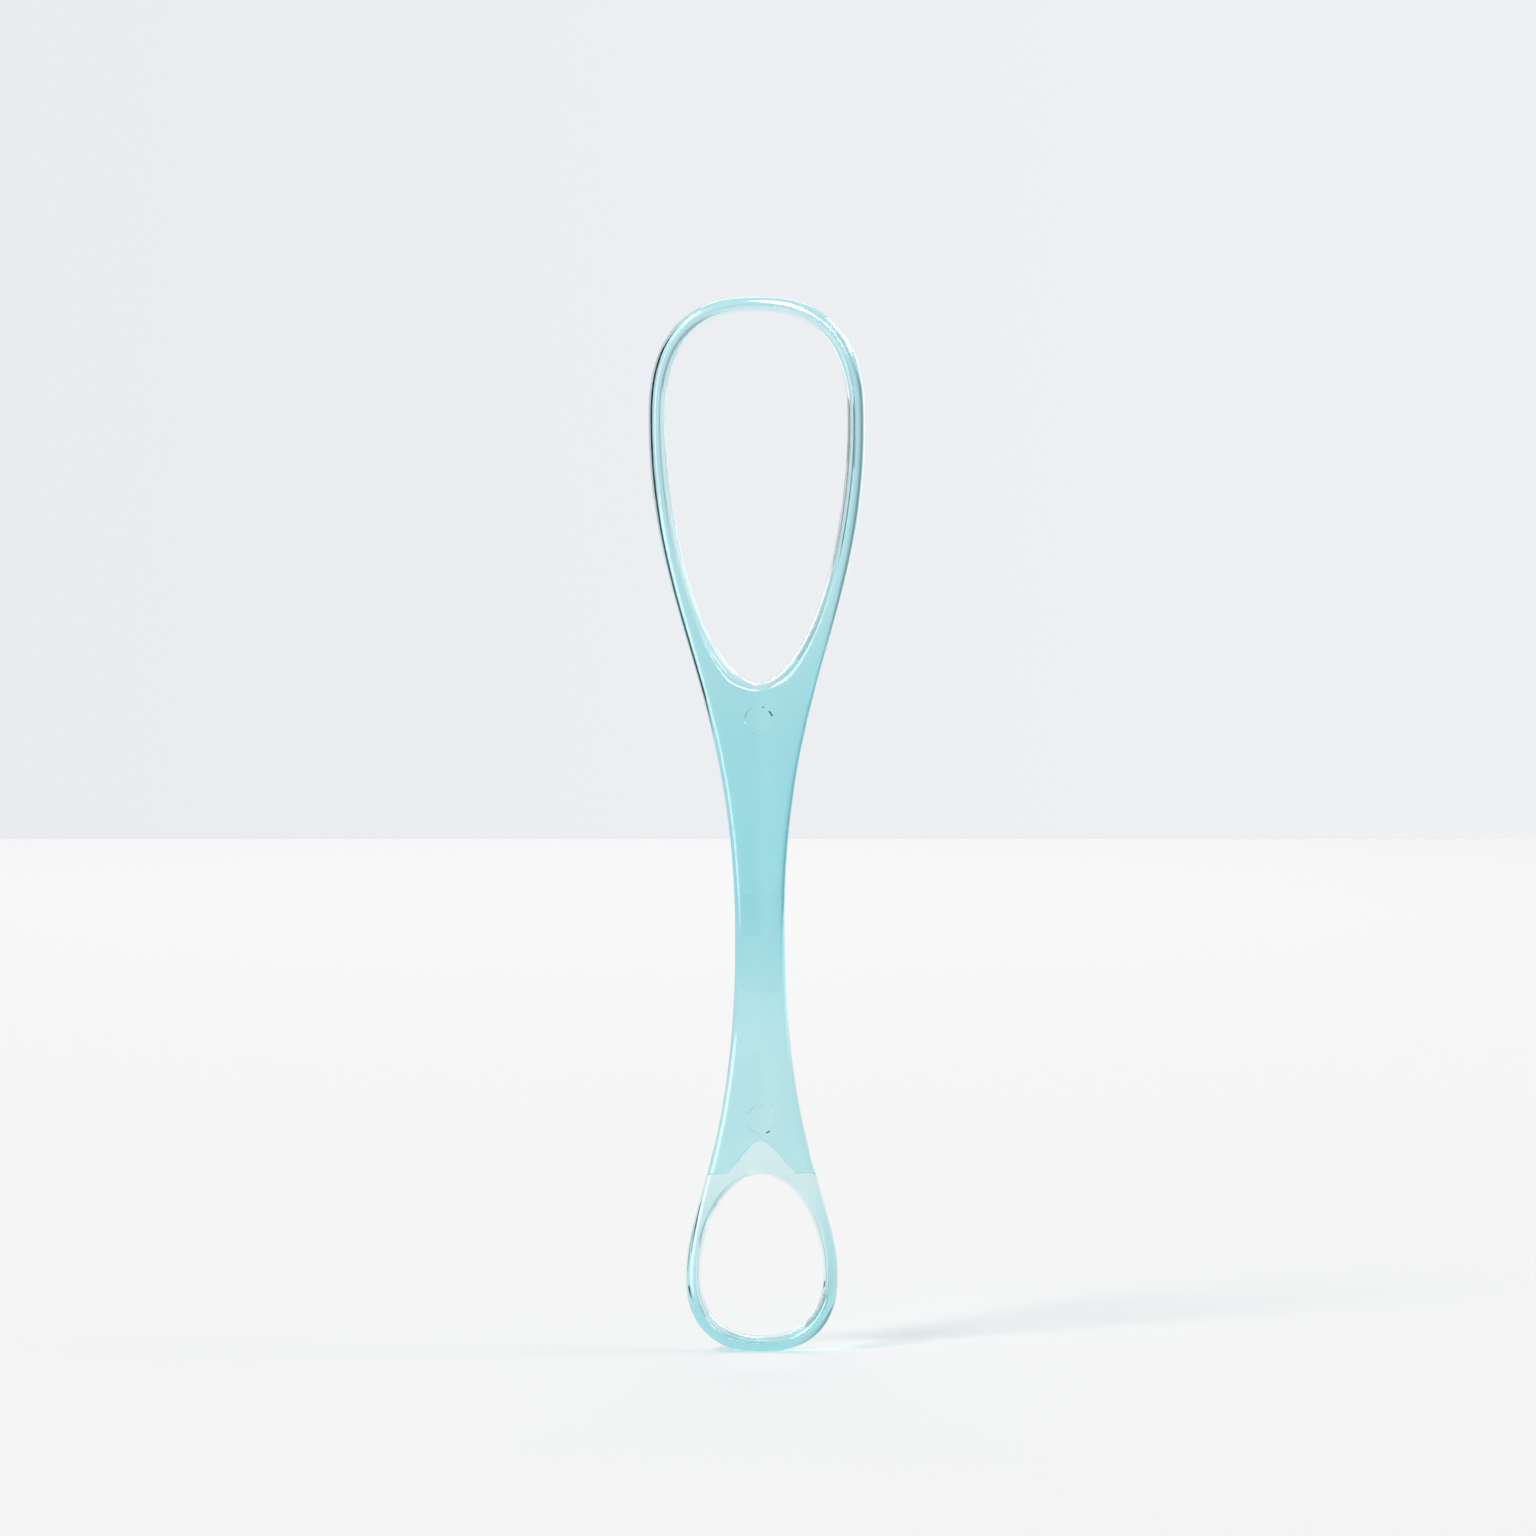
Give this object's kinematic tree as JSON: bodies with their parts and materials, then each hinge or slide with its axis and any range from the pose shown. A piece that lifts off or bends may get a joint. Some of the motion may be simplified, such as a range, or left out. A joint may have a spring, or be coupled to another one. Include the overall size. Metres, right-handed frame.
{
  "type": "tongue scraper",
  "caption": "Slim clear tinted plastic tongue scraper: a large open scraping loop and a small one at the ends of a flat, waisted handle.",
  "frame": {"origin": "lowest point of the small loop, midway across the width and the thickness", "axes": "+Z along the length from the small loop to the large loop, +X across to the right as pictured, +Y towards the flat back; the pictured front faces -Y"},
  "size_m": [0.0306, 0.0038, 0.15],
  "materials": {
    "clear_plastic": "polished clear moulded plastic with a pale aqua tint"
  },
  "bodies": {
    "root": {"large_loop": "clear_plastic", "handle": "clear_plastic", "small_loop": "clear_plastic"}
  },
  "joints": []
}
